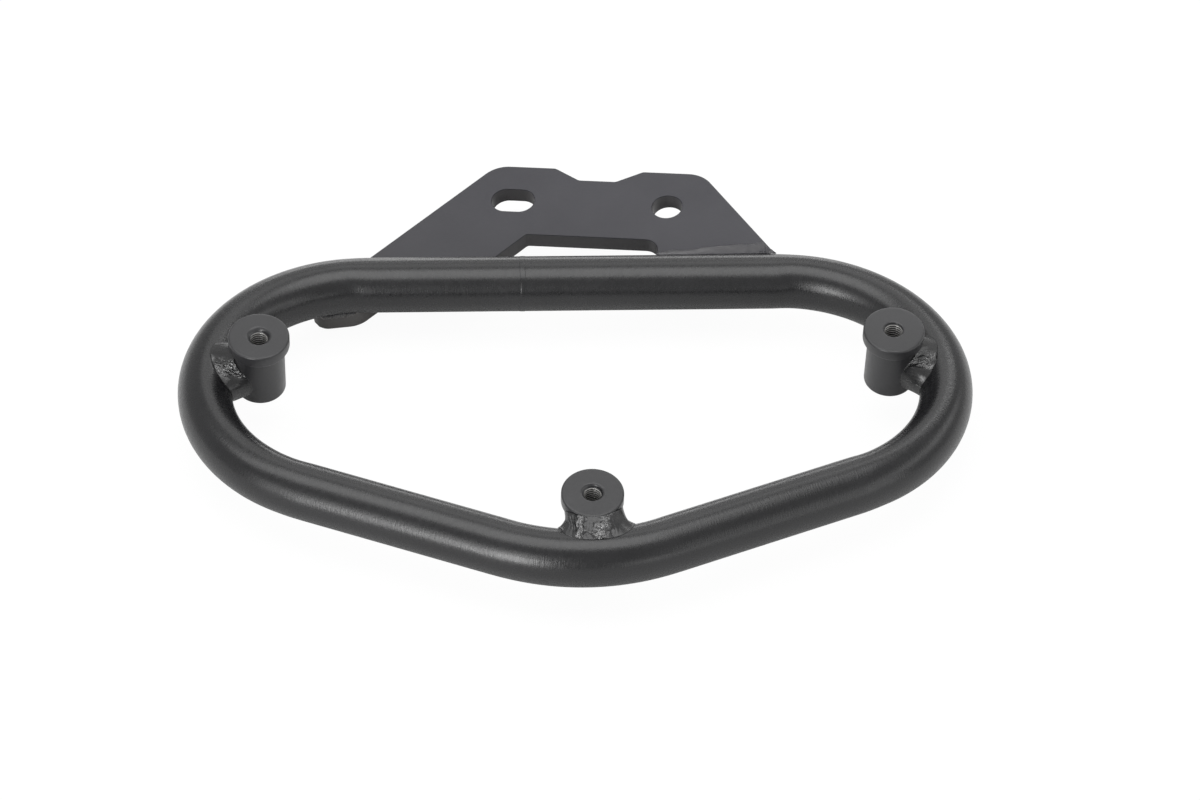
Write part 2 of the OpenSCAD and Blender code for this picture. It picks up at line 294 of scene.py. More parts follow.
tube = {
    "radius": 9.0,
    "straight": 137.0,
    "sideRadius": 50.0,
    "sideTurn": 157.0,
    "frontRadius": 65.0,
    "seamX": -16.0,               # butt weld, from the middle of the straight side
    "sideFlat": (0.060, 0.040),   # how much narrower the tube is in the side bends, right and left
    "frontFlat": 0.022,           # and in the front bend
    "swell": 0.010,               # how much taller it is in every bend
    "easeIn": 9.0,                # length over which a bend's oval comes and goes
    "pitch": 0.9,                 # distance between rings
    "around": 56,                 # points in a ring
    "lineSteps": 40001,           # points of the table that the centreline is read from
}


def loopLayout():
    # lengths of the seven runs from the seam round to the seam, and the heading at each run's end
    t = tube
    half = t["straight"] / 2
    corner = half + t["sideRadius"] * math.tan(math.radians(t["sideTurn"] / 2))
    slope = 180 - t["sideTurn"]
    frontTurn = 360 - 2 * t["sideTurn"]
    side = corner / math.cos(math.radians(slope))
    side = side - t["sideRadius"] * math.tan(math.radians(t["sideTurn"] / 2))
    side = side - t["frontRadius"] * math.tan(math.radians(frontTurn / 2))
    sideArc = math.radians(t["sideTurn"]) * t["sideRadius"]
    frontArc = math.radians(frontTurn) * t["frontRadius"]
    runs = [half - t["seamX"], sideArc, side, frontArc, side, sideArc, half + t["seamX"]]
    turns = [0, -t["sideTurn"], 0, -frontTurn, 0, -t["sideTurn"], 0]
    return np.concatenate([[0], np.cumsum(runs)]), np.radians(np.concatenate([[0], np.cumsum(turns)]))


runEnds, headings = loopLayout()
fineS = np.linspace(0, runEnds[-1], tube["lineSteps"])
fineHeading = np.interp(fineS, runEnds, headings)
midHeading = (fineHeading[1:] + fineHeading[:-1]) / 2
lineX = np.concatenate([[0], np.cumsum(np.cos(midHeading) * np.diff(fineS))])
lineY = np.concatenate([[0], np.cumsum(np.sin(midHeading) * np.diff(fineS))])


def loopLine(s):
    # centreline: position is the running sum of the heading's direction; also the outward normal
    s = np.mod(s, runEnds[-1])
    x = tube["seamX"] + np.interp(s, fineS, lineX)
    y = np.interp(s, fineS, lineY)
    h = np.interp(s, runEnds, headings)
    zero = np.zeros_like(x)
    return np.stack([x, y, zero], -1), np.stack([-np.sin(h), np.cos(h), zero], -1)


def bendShare(s, run):
    # 0 outside a bend, 1 well inside it, eased over easeIn about both ends
    e = tube["easeIn"]
    return smooth((s - runEnds[run]) / e + 0.4) * smooth((runEnds[run + 1] - s) / e + 0.4)


def tubeSurface(s, angle, grow=0.0):
    # a circle of the tube's radius round the centreline, pressed into an oval in the bends
    flat = tube["sideFlat"][0] * bendShare(s, 1) + tube["sideFlat"][1] * bendShare(s, 5) \
        + tube["frontFlat"] * bendShare(s, 3)
    tall = tube["swell"] * (bendShare(s, 1) + bendShare(s, 5) + bendShare(s, 3))
    centre, normal = loopLine(s)
    out = (tube["radius"] * (1 - flat) + grow) * np.cos(angle)
    up = (tube["radius"] * (1 + tall) + grow) * np.sin(angle)
    return centre + normal * out[..., None] + np.array([0, 0, 1.0]) * up[..., None]


ringCount = int(runEnds[-1] / tube["pitch"])
ringS = np.arange(ringCount) * runEnds[-1] / ringCount
ringAngle = np.arange(tube["around"]) * 2 * math.pi / tube["around"]
sGrid, angleGrid = np.meshgrid(ringS, ringAngle, indexing="ij")
tubePiece = gridPiece("bentTube", tubeSurface(sGrid, angleGrid),
                      uvScale=(runEnds[-1] / ringCount, 2 * math.pi * tube["radius"] / tube["around"]))
paint(tubePiece, tubeCoat)
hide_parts("tube_loop")
print("tube:", len(tubePiece.data.polygons), "faces")

# the butt weld is a thin ring whose section is half an ellipse above the tube and half one inside it:
# place = halfWidth cos a + wander sin 3 th, height = proud or sink times sin a, with fine ripples round it
seam = {
    "halfWidth": 0.9,
    "proud": 0.075,
    "sink": 0.5,
    "wander": 0.15,
    "ripples": (46, 0.10),   # how many round the tube, and how strong
}
seamAngle = np.linspace(0, 2 * math.pi, 181)[:-1]
seamSection = np.linspace(0, 2 * math.pi, 15)[:-1]
angleAll, acrossAll = np.meshgrid(seamAngle, seamSection, indexing="ij")
seamLift = np.where(np.sin(acrossAll) > 0, seam["proud"], seam["sink"]) * np.sin(acrossAll)
seamWave = np.sin(angleAll * seam["ripples"][0] + 1.5 * np.cos(acrossAll))
seamLift = seamLift * (1 + seam["ripples"][1] * seamWave)
seamPlace = seam["halfWidth"] * np.cos(acrossAll) + seam["wander"] * np.sin(angleAll * 3)
seamPiece = gridPiece("buttSeam", tubeSurface(seamPlace, angleAll, seamLift))
paint(seamPiece, tubeCoat)
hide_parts("loop_butt_weld")


# turned bosses

boss = {
    "height": 23.5,
    "flangeRadius": 9.75,
    "flange": 4.0,         # thickness
    "bodyRadius": 8.0,
    "edge": 0.55,          # radius round the face
    "underEdge": 0.3,      # under the flange
    "footEdge": 0.6,       # round the lower end
    "neck": 0.35,          # small fillet where the body leaves the flange
    "threadDepth": 0.48,
    "threadPitch": 1.0,
    "threadEnd": 0.9,      # plain length at the bore's lower end
    "threadStep": 0.1,     # distance between rings in the bore
    "around": 96,
}
leanCos = math.cos(math.radians(loopPlace["lean"]))
bosses = {
    # foot: where the axis meets the loop's plane; face: height of the face along the axis; sink and core:
    # radii of the countersink and of the thread's crests; turn: where the thread starts, in degrees
    "left": {"foot": (-100.9, -44.287), "face": 19.9 / leanCos, "sink": 3.75, "core": 2.6, "turn": 40},
    "right": {"foot": (100.9, -44.287), "face": 19.9 / leanCos, "sink": 3.15, "core": 2.75, "turn": 200},
    "front": {"foot": (2.502, -110.515), "face": 12.789 / leanCos, "sink": 3.45, "core": 2.55, "turn": 110},
}


def roundedCorner(before, corner, after, r, steps=4):
    # arc of radius r that rounds a corner between two straight sides
    a, v, b = (np.array(p, float) for p in (before, corner, after))
    da = (a - v) / np.linalg.norm(a - v)
    db = (b - v) / np.linalg.norm(b - v)
    half = math.acos(np.clip(da @ db, -1, 1)) / 2
    centre = v + (da + db) / np.linalg.norm(da + db) * r / math.sin(half)
    start = v + da * r / math.tan(half) - centre
    end = v + db * r / math.tan(half) - centre
    u = np.linspace(0, 1, steps + 1)[:, None]
    arc = start * (1 - u) + end * u
    return centre + arc / np.linalg.norm(arc, axis=1, keepdims=True) * r


def bossSection(b):
    # half section (radius, height) from the bore's top edge over the flange, down the body and up the
    # thread; also returns how many of its points lie in the thread
    h = boss["height"]
    wide = boss["flangeRadius"]
    slim = boss["bodyRadius"]
    step = -boss["flange"]
    end = boss["threadEnd"]
    neck = boss["neck"]
    top = np.array([(b["sink"], 0.0), (b["sink"] + 0.5, 0.0), (wide - 1.2, 0.0)])
    rim = roundedCorner((0, 0), (wide, 0), (wide, -9), boss["edge"])
    under = roundedCorner((wide, 0), (wide, step), (0, step), boss["underEdge"])
    body = np.array([(slim + neck, step), (slim, step - neck), (slim, step - 0.8), (slim, -h + 1.0)])
    foot = roundedCorner((slim, 0), (slim, -h), (0, -h), boss["footEdge"])
    inner = np.array([(slim - 1.2, -h), (b["core"] + 1.1, -h), (b["core"] + end, -h)])
    bore = np.arange(-h + end, -(b["sink"] - b["core"]) + 0.01, boss["threadStep"])
    thread = np.stack([np.full_like(bore, b["core"]), bore], 1)
    return np.concatenate([top, rim, under, body, foot, inner, thread]), len(thread)


def bossSurface(b):
    # the section spun round; the bore's wall swings out by a flat-topped triangle wave that climbs one
    # pitch a turn. Also returns the share of bare steel, 1 on the thread's crests
    section, threadCount = bossSection(b)
    angle = np.arange(boss["around"]) * 2 * math.pi / boss["around"]
    r, a = np.meshgrid(section[:, 0], angle, indexing="ij")
    z = np.meshgrid(section[:, 1], angle, indexing="ij")[0]
    phase = np.mod(z / boss["threadPitch"] - (a + math.radians(b["turn"])) / (2 * math.pi), 1)
    groove = np.clip(1.25 - 2.5 * np.abs(phase - 0.5), 0, 1)
    inBore = np.arange(len(section))[:, None] >= len(section) - threadCount
    fade = smooth((z + boss["height"] - boss["threadEnd"]) / 0.8)
    r = r + np.where(inBore, groove * fade * boss["threadDepth"], 0)
    crest = np.where(inBore, smooth(1.5 - 3 * groove), 0) * smooth((b["core"] - b["sink"] - 0.15 - z) / 0.2)
    return np.stack([r * np.cos(a), r * np.sin(a), z], -1), crest


def atFace(b, points):
    # from a boss's own frame, zero in the middle of its face, to the loop's
    return (points + [0, 0, b["face"]]) @ turn("x", loopPlace["lean"]).T + [b["foot"][0], b["foot"][1], 0]


for side, b in bosses.items():
    surface, crests = bossSurface(b)
    bossPiece = gridPiece(side + "Boss", atFace(b, surface), share=crests)
    paint(bossPiece, bossCoat)
    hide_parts(side + "_boss")
print("bosses:", len(bosses))

# welds between bosses and tube

weldForm = {
    "spokes": 360,
    "rings": 41,
    "proud": 0.03,          # how far the edge stands off the boss and the tube
    "sink": 1.5,            # how deep the hidden rim lies inside them
    "boxLow": 0.25,         # how much squarer the lower half is than a circle
    "swell": (0.02, 0.06),  # bend of the skin everywhere, and more of it underneath
    "heightLump": 0.08,     # unevenness of the toes, in mm
    "reachLump": 0.15,
    "bellyLump": 0.07,
    "swingLump": 0.012,     # and in radians
    "riseLump": 0.015,
}
bossWelds = {
    # boss: degrees round the boss that the weld reaches to the front and to the back
    # height: its lowest place on the boss, and its highest at the front and at the back
    # tube: how far along the tube it reaches, front and back; angle: from where to where round the tube
    # front: 1 where the photographed side lies along the loop's own direction, else -1
    # ripple: how many round the weld, and their depth; bead: middle and half width of the rippled part
    # bulge: how far its sides swell (or sink in) as a share of their width
    # taper: how soon the front horn thins out, in its upper and its lower half
    # patches: how much of the bead is glossy, from 0 to 1
    "left": {"boss": (84, 64), "height": (-3.3, 10.0, 12.0), "tube": (14.6, 9.0), "angle": (-42, 84),
             "front": -1, "ripple": (52, 0.14), "bead": (122, 17), "bulge": -0.10, "taper": (1.5, 1.2),
             "patches": 0.62, "seed": 3},
    "right": {"boss": (82, 64), "height": (-3.6, 13.0, 13.0), "tube": (15.5, 8.5), "angle": (-42, 80),
              "front": 1, "ripple": (48, 0.14), "bead": (52, 15), "bulge": -0.10, "taper": (1.5, 1.2),
              "patches": 0.62, "seed": 8},
    "front": {"boss": (84, 80), "height": (-5.0, 12.25, 12.25), "tube": (14.4, 13.2), "angle": (-36, 99),
              "front": -1, "ripple": (70, 0.10), "bead": (80, 22), "bulge": -0.14, "taper": (0.75, 0.5),
              "patches": 0.40, "seed": 5},
}


def nearestRun(foot):
    # the place along the loop whose centreline is nearest to a boss's foot
    line = np.stack([tube["seamX"] + lineX, lineY], 1)
    return fineS[np.argmin(np.linalg.norm(line - np.array(foot), axis=1))]


def squared(x, power):
    # keeps the sign of x and raises its absolute value to a power
    return np.sign(x) * np.abs(x) ** power


def bossWeldSurface(b, w):
    # a closed skin in spokes round the place where boss and tube nearly touch. The spoke at angle th starts
    # at the toe on the boss, p0(cos th, sin th), ends at the toe on the tube, p1(cos th, sin th), and in
    # between is p0 (1 - c) + p1 c + belly(th, c) sin(pi c)^0.7 outwards. The toes are rounded boxes in
    # (degrees, height) on the boss and (length, degrees) on the tube; belly holds bulge, ripples and lumps.
    # Also returns the share of glossy ripples
    s0 = nearestRun(b["foot"])
    f = weldForm
    spoke = np.linspace(0, 2 * math.pi, f["spokes"] + 1)[:-1]
    th, c = np.meshgrid(spoke, np.linspace(0, 1, f["rings"]), indexing="ij")
    up = np.sin(th)
    along = np.cos(th)
    ahead = along * w["front"] > 0
    lumps = ripple(th * 5, c * 4, w["seed"])
    fine = ripple(th * 17 + c * 9, c * 17, w["seed"] + 20, 9)

    _, normal = loopLine(np.full_like(th, s0))
    tangent = np.stack([normal[..., 1], -normal[..., 0], np.zeros_like(th)], -1)
    low, highFront, highBack = w["height"]
    towardsFront = np.sin(along * w["front"] * math.pi / 2)
    high = (highFront + highBack) / 2 + (highFront - highBack) / 2 * towardsFront
    lowSide = smooth(-1.5 * up)
    boxy = 1 - f["boxLow"] * lowSide
    blunt = 0.25 + 0.5 * boxy
    h = (low + high) / 2 + squared(up, boxy) * (high - low) / 2 + f["heightLump"] * lumps
    swing = np.radians(np.where(ahead, *w["boss"])) * squared(along, blunt) + f["swingLump"] * lumps
    under = b["face"] - boss["flange"]
    flangeOut = boss["flangeRadius"] - boss["bodyRadius"]
    wall = boss["bodyRadius"] + flangeOut * smooth((h - under + 0.5) / 0.4)
    axis = turn("x", loopPlace["lean"]) @ np.array([0, 0, 1.0])
    foot = np.array([b["foot"][0], b["foot"][1], 0.0])
    spread = normal * np.cos(swing)[..., None] + tangent * np.sin(swing)[..., None]
    toBoss = foot + axis * h[..., None] + spread * (wall + f["proud"])[..., None]
    inBoss = foot + axis * (h * 0.9)[..., None] + spread * (wall - f["sink"])[..., None]

    first, last = np.radians(w["angle"])
    rise = (first + last) / 2 + squared(up, boxy) * (last - first) / 2 + f["riseLump"] * lumps
    horn = w["taper"][0] * (1 - lowSide) + w["taper"][1] * lowSide
    taper = np.where(ahead, horn, blunt)
    reach = np.where(ahead, *w["tube"]) * squared(along, taper) + f["reachLump"] * lumps
    toTube = tubeSurface(s0 + reach, math.pi - rise, f["proud"])
    inTube = tubeSurface(s0 + reach * 0.9, math.pi - rise * 0.95, -f["sink"])

    outward = tangent * along[..., None] + np.array([0, 0, 1.0]) * up[..., None]
    chord = np.linalg.norm(toTube - toBoss, axis=-1)
    bend = f["swell"][0] + f["swell"][1] * up * up * lowSide + w["bulge"] * along * along
    middle, width = w["bead"]
    bead = smooth(1.5 - np.abs(th - math.radians(middle)) / math.radians(width))
    count, depth = w["ripple"]
    wave = np.sin(th * count + 5 * (c - 0.5) ** 2 + 1.3 * lumps) + 0.6 * fine
    belly = bend * chord + depth * wave * (0.06 + 0.94 * bead) + f["bellyLump"] * lumps
    skin = toBoss * (1 - c)[..., None] + toTube * c[..., None] \
        + outward * (belly * np.sin(math.pi * c) ** 0.7)[..., None]
    skin[:, 0] = inBoss[:, 0]
    skin[:, -1] = inTube[:, -1]
    patchy = np.clip(w["patches"] + 0.55 * ripple(th * 8, c * 7, w["seed"] + 40), 0, 1)
    return skin, bead * patchy * smooth(np.sin(math.pi * c) * 4)


for side, w in bossWelds.items():
    skin, beadShare = bossWeldSurface(bosses[side], w)
    weldPiece = gridPiece(side + "BossWeld", skin, share=beadShare)
    paint(weldPiece, weldCoat)
    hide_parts(side + "_boss_weld")
print("boss welds:", len(bossWelds))

# bolt-on plate

plate = {
    # zero is the middle of the round hole's upper edge, X towards the right, Y towards the rear
    "thickness": 6.0,
    "holeRadius": 5.1,
    "slotWidth": 10.2,
    "slotLength": 14.6,
    "slotX": -52.2,
    "rear": 15.3,          # rear edge
    "leftCorner": 8.1,     # from the slot's middle to the left rear corner
    "rightCorner": 10.0,   # from the hole's middle to the right one
    "leftAngle": 51.0,
    "rightAngle": 50.0,
    "cornerRadius": 10.0,
    "waist": (-25.1, 12.5, 5.0, 30.0),   # place, width of its floor, depth, angle of its sides
    "waistRadius": 2.5,
    "notchEdge": -15.0,    # rear edge of the notch
    "notchRadius": 5.0,
    "armWidth": 30.7,
    "legIn": -0.4,         # inner edge of the right leg
    "legLap": 2.0,         # how far the leg reaches into the tube's outline
    "armUnder": 0.6,       # where the wide arm ends, as a share of the tube's radius
    "tabWidth": 16.0,
    "tabReach": 2.45,      # how far the tab comes forward from under the tube's middle
    "tabRadius": (9.0, 5.5),
    "tabLitFrom": -46.0,     # nearer than this the coat is a paler grey, painted light on the tab
    "cutShade": 0.5,       # and the cut walls are this far towards it
    "edgeRound": 0.2,
}
plateTurn = turn("y", loopPlace["plateRoll"]) @ turn("x", loopPlace["lean"])
plateTurn = plateTurn @ turn("z", loopPlace["plateYaw"])


def fromPlate(points):
    return points @ plateTurn.T + np.array(loopPlace["boltHole"])


def direction(degrees):
    return np.array([math.cos(math.radians(degrees)), math.sin(math.radians(degrees))])


def meetOf(p, a, q, b):
    # where the line through p at angle a meets the line through q at angle b
    da = direction(a)
    db = direction(b)
    d = np.array(q, float) - np.array(p, float)
    return np.array(p, float) + da * (d[0] * db[1] - d[1] * db[0]) / (da[0] * db[1] - da[1] * db[0])


def tubeLineY(y):
    # on the plate, the height above the hole's own X of a line that lies y behind the tube's middle
    return (0.0, (y - loopPlace["boltHole"][1]) / math.cos(math.radians(loopPlace["lean"]))
            / math.cos(math.radians(loopPlace["plateYaw"])))


def plateOutline():
    # the corners in turn, clockwise, each cut by an arc of its own radius
    p = plate
    tilt = -loopPlace["plateYaw"]
    leftTop = np.array([p["slotX"] - p["leftCorner"], p["rear"]])
    rightTop = np.array([p["rightCorner"], p["rear"]])
    mid, floor, depth, slant = p["waist"]
    run = depth / math.tan(math.radians(slant))
    lean = math.radians(p["leftAngle"])
    notchX = leftTop[0] + p["armWidth"] / math.sin(lean) - (p["rear"] - p["notchEdge"]) / math.tan(lean)
    notchLeft = np.array([notchX, p["notchEdge"]])
    tabIn = leftTop + [p["tabWidth"] / math.sin(lean), 0]
    legLine = tubeLineY(tube["radius"] - p["legLap"])
    armLine = tubeLineY(tube["radius"] * p["armUnder"])
    tabLine = tubeLineY(-p["tabReach"])
    corners = [
        (leftTop, p["cornerRadius"]),
        ((mid - floor / 2 - run, p["rear"]), p["waistRadius"]),
        ((mid - floor / 2, p["rear"] - depth), p["waistRadius"]),
        ((mid + floor / 2, p["rear"] - depth), p["waistRadius"]),
        ((mid + floor / 2 + run, p["rear"]), p["waistRadius"]),
        (rightTop, p["cornerRadius"]),
        (meetOf(rightTop, -p["rightAngle"], legLine, tilt), 0.8),
        (meetOf((p["legIn"], 0), 90, legLine, tilt), 0.8),
        ((p["legIn"], p["notchEdge"]), p["notchRadius"]),
        (notchLeft, 1.5),
        (meetOf(notchLeft, p["leftAngle"], armLine, tilt), 1.0),
        (meetOf(tabIn, p["leftAngle"], armLine, tilt), 2.0),
        (meetOf(tabIn, p["leftAngle"], tabLine, tilt), p["tabRadius"][0]),
        (meetOf(leftTop, p["leftAngle"], tabLine, tilt), p["tabRadius"][1]),
    ]
    places = [np.array(c[0], float) for c in corners]
    arcs = []
    for i, (_, r) in enumerate(corners):
        after = places[(i + 1) % len(places)]
        arcs.append(roundedCorner(places[i - 1], places[i], after, r, 10 if r > 3 else 5))
    return np.concatenate(arcs)


def roundHole(x, run):
    # a circle whose two halves stand apart by the run of a slot
    a = np.linspace(0, 2 * math.pi, 65)[:-1]
    r = plate["holeRadius"]
    shift = np.sign(np.cos(a)) * run / 2 * (np.abs(np.cos(a)) > 1e-6)
    return np.stack([x + r * np.cos(a) + shift, r * np.sin(a)], 1)


def inwardOf(loop):
    # unit normal into the material at each point of a clockwise outline, lengthened at corners
    before = loop - np.roll(loop, 1, 0)
    after = np.roll(loop, -1, 0) - loop
    n1 = np.stack([before[:, 1], -before[:, 0]], 1) / np.linalg.norm(before, axis=1, keepdims=True)
    n2 = np.stack([after[:, 1], -after[:, 0]], 1) / np.linalg.norm(after, axis=1, keepdims=True)
    n = n1 + n2
    n = n / np.linalg.norm(n, axis=1, keepdims=True)
    return n / np.clip((n * n1).sum(1), 0.5, 1)[:, None]


def edgeProfile():
    # how far in from the edge and how deep, from the upper face round to the lower
    r = plate["edgeRound"]
    t = plate["thickness"]
    a = np.linspace(0, math.pi / 2, 5)
    upper = np.stack([r * (1 - np.sin(a)), -r * (1 - np.cos(a))], 1)
    lower = np.stack([upper[::-1, 0], -t - upper[::-1, 1]], 1)
    wall = [[0, -r - 0.4], [0, -t / 2], [0, -t + r + 0.4]]
    return np.concatenate([[[r + 0.5, 0]], upper, wall, lower, [[r + 0.5, -t]]])


def platePiece():
    # walls: the edge profile carried round each outline; faces: triangles between the innermost loops.
    # Also returns how far each point's coat is paler: on the cut walls, and on the tab, where the paler
    # grey is painted light
    profile = edgeProfile()
    slotRun = plate["slotLength"] - plate["slotWidth"]
    loops = [plateOutline(), roundHole(0.0, 0.0), roundHole(plate["slotX"], slotRun)]
    points = []
    faces = []
    topLoops = []
    bottomLoops = []
    count = 0
    for loop in loops:
        # holes run anticlockwise and the outline clockwise, so this points into the material
        ring = loop[None] + inwardOf(loop)[None] * profile[:, 0][:, None, None]
        z = np.broadcast_to(profile[:, 1][:, None, None], ring.shape[:2] + (1,))
        grid = np.concatenate([ring, z], -1)
        faces.append(gridFaces(len(profile), len(loop), False, True) + count)
        topLoops.append((count, grid[0]))
        bottomLoops.append((count + (len(profile) - 1) * len(loop), grid[-1]))
        points.append(grid.reshape(-1, 3))
        count += grid.shape[0] * grid.shape[1]
    flat = [f.tolist() for block in faces for f in block]
    for level in (topLoops, bottomLoops):
        index = np.concatenate([start + np.arange(len(g)) for start, g in level])
        triangles = geometry.tessellate_polygon([[tuple(p) for p in g] for _, g in level])
        flat += [[int(index[i]) for i in t] for t in triangles]
    points = np.concatenate(points)
    inside = np.minimum(-points[:, 2], points[:, 2] + plate["thickness"])
    cutWall = plate["cutShade"] * smooth(inside / plate["edgeRound"] - 1)
    # the tab under the tube is painted the paler grey: painted light
    tab = smooth((plate["tabLitFrom"] - points[:, 1]) / 5)
    return points, flat, np.maximum(cutWall, tab)


platePoints, plateFaces, paleWallsAndLitTab = platePiece()
boltPlate = setMesh("boltPlate", toRow(fromPlate(platePoints)), plateFaces, share=paleWallsAndLitTab)
work = bmesh.new()
work.from_mesh(boltPlate.data)
bmesh.ops.recalc_face_normals(work, faces=work.faces)
work.to_mesh(boltPlate.data)
work.free()
paint(boltPlate, plateCoat)
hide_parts("mounting_plate")
print("plate:", len(boltPlate.data.polygons), "faces")

# welds along the plate

plateWeldForm = {
    "rings": 181,
    "across": 13,        # points over the skin
    "proud": 0.05,       # how far the toe stands off the tube
    "toeLump": 0.18,     # unevenness of the toe on the plate, mm, and of the one on the tube, degrees
    "angleLump": 1.5,
    "skinLump": 0.08,
}
plateWelds = {
    # x along the straight side and y of the toe on the plate; angle of the toe on the tube, from its rear
    # side, at both ends; face: 1 on the plate's upper face, -1 on the lower; belly: swell as a share of the
    # width; ripple: pitch and depth; blunt: share of the length in which an end draws in; bead: how much
    # of the second finish shows, which with plateCoat is the paler grey, painted light along the weld's
    # middle
    # its paler middle band is a painted highlight
    "leg_upper_weld": {
        "piece": "legUpperWeld", "face": 1, "coat": plateCoat, "seed": 2,
        "x": (28.2, 33, 40, 48, 57, 61, 63.4, 64.8, 67.6),
        "y": (11.2, 11.9, 11.2, 11.4, 11.2, 10.9, 11.7, 8.8, 5.6),
        "angle": (46, 49), "belly": 0.05, "ripple": (3.4, 0.02), "blunt": 0.03, "bead": 0.3,
    },
    "leg_lower_weld": {
        "piece": "legLowerWeld", "face": -1, "coat": weldCoat, "seed": 4,
        "x": (29.2, 40, 52, 65.6), "y": (12.2, 12.6, 12.4, 12.0),
        "angle": (-44, -40), "belly": 0.18, "ripple": (1.5, 0.13), "blunt": 0.1, "bead": 0.25,
    },
    "arm_weld": {
        "piece": "armWeld", "face": 1, "coat": weldCoat, "seed": 6,
        "x": (-68.6, -60, -50, -38.4), "y": (8.4, 9.4, 10.2, 10.8),
        "angle": (-42, -14), "belly": 0.16, "ripple": (1.4, 0.13), "blunt": 0.1, "bead": 0.25,
    },
    # painted all over in the paler grey: painted light on the shadowed tab
    "tab_weld": {
        "piece": "tabWeld", "face": 1, "coat": plateCoat, "seed": 9,
        "x": (-82.8, -80, -76, -71), "y": (-2.2, -2.5, -2.9, -2.4),
        "angle": (-120, -126), "belly": 0.16, "ripple": (1.9, 0.04), "blunt": 0.2, "bead": 1.0,
    },
}


def facePoint(x, y, face):
    # the point of the plate's upper (1) or lower (-1) face over a place of the loop's plane
    normal = plateTurn[:, 2]
    hole = np.array(loopPlace["boltHole"])
    drop = 0.0 if face > 0 else plate["thickness"] / normal[2]
    z = hole[2] - ((x - hole[0]) * normal[0] + (y - hole[1]) * normal[1]) / normal[2] - drop
    return np.stack([x, y, z], -1)


def plateWeldSurface(w):
    # a closed skin across the corner between plate and tube: for each u along the weld the section runs
    # from the toe on the plate over p0 (1 - c) + p1 c + belly sin(pi c)^0.8 to the toe on the tube, then
    # back inside both; both ends draw in along a quarter of an ellipse. Also returns the finish share
    f = plateWeldForm
    u = np.linspace(0, 1, f["rings"])
    knots = np.linspace(0, 1, len(w["x"]))
    x = np.interp(u, knots, w["x"])
    y = np.interp(u, knots, w["y"])
    soft = np.ones(9) / 9
    x[4:-4] = np.convolve(x, soft, "valid")
    y[4:-4] = np.convolve(y, soft, "valid")
    lump = ripple(u * 40, u * 3, w["seed"])
    y = y + f["toeLump"] * lump
    onPlate = facePoint(x, y, w["face"])
    angle = np.radians(np.interp(u, (0, 1), w["angle"]) + f["angleLump"] * lump)
    # past the straight side's end the place along the tube follows the bend's arc
    half = tube["straight"] / 2
    pastEnd = np.arcsin(np.clip((-x - half) / tube["sideRadius"], 0, 1))
    runX = np.where(x < -half, -half - tube["sideRadius"] * pastEnd, x)
    onTube = tubeSurface(runX - tube["seamX"], angle, f["proud"])
    fromEnd = np.clip(np.minimum(u, 1 - u) / w["blunt"], 0, 1)
    pull = np.sqrt(np.clip(1 - (1 - fromEnd) ** 2, 0, 1))
    centre = (onPlate + onTube) / 2
    c = np.linspace(0, 1, f["across"])
    chordLine = onTube - onPlate
    chord = np.linalg.norm(chordLine, axis=1)
    away = np.cross([1.0, 0, 0], chordLine)
    away = away / np.linalg.norm(away, axis=1, keepdims=True)
    tubeMiddle = loopLine(runX - tube["seamX"])[0]
    facing = np.sign(np.einsum("ij,ij->i", away, centre - tubeMiddle) + 1e-9)
    away = away * np.median(facing)
    pitch, depth = w["ripple"]
    wave = np.sin(2 * math.pi * (x[:, None] + 1.1 * (c - 0.5) ** 2 * 4) / pitch + 0.8 * lump[:, None])
    fine = ripple(u[:, None] * 25, c * 5, w["seed"] + 1)
    belly = w["belly"] * chord[:, None] + depth * wave + f["skinLump"] * fine
    skin = onPlate[:, None] * (1 - c)[:, None] + onTube[:, None] * c[:, None] \
        + away[:, None] * (belly * np.sin(math.pi * c) ** 0.8)[..., None]
    root = centre - away * np.clip(chord, 1, 3)[:, None] * 0.5
    section = np.concatenate([skin, (onTube * 0.3 + root * 0.7)[:, None], root[:, None],
                              (onPlate * 0.3 + root * 0.7)[:, None]], 1)
    beadShare = np.zeros(section.shape[:2])
    # strongest across the weld's middle; with plateCoat this paler middle is a painted highlight
    beadShare[:, :len(c)] = w["bead"] * np.sin(math.pi * c) ** 0.5
    return centre[:, None] + (section - centre[:, None]) * pull[:, None, None], beadShare


for node, w in plateWelds.items():
    skin, beadShare = plateWeldSurface(w)
    weldPiece = gridPiece(w["piece"], skin, closeRows=False, share=beadShare)
    paint(weldPiece, w["coat"])
    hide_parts(node)
print("plate welds:", len(plateWelds))

# studio

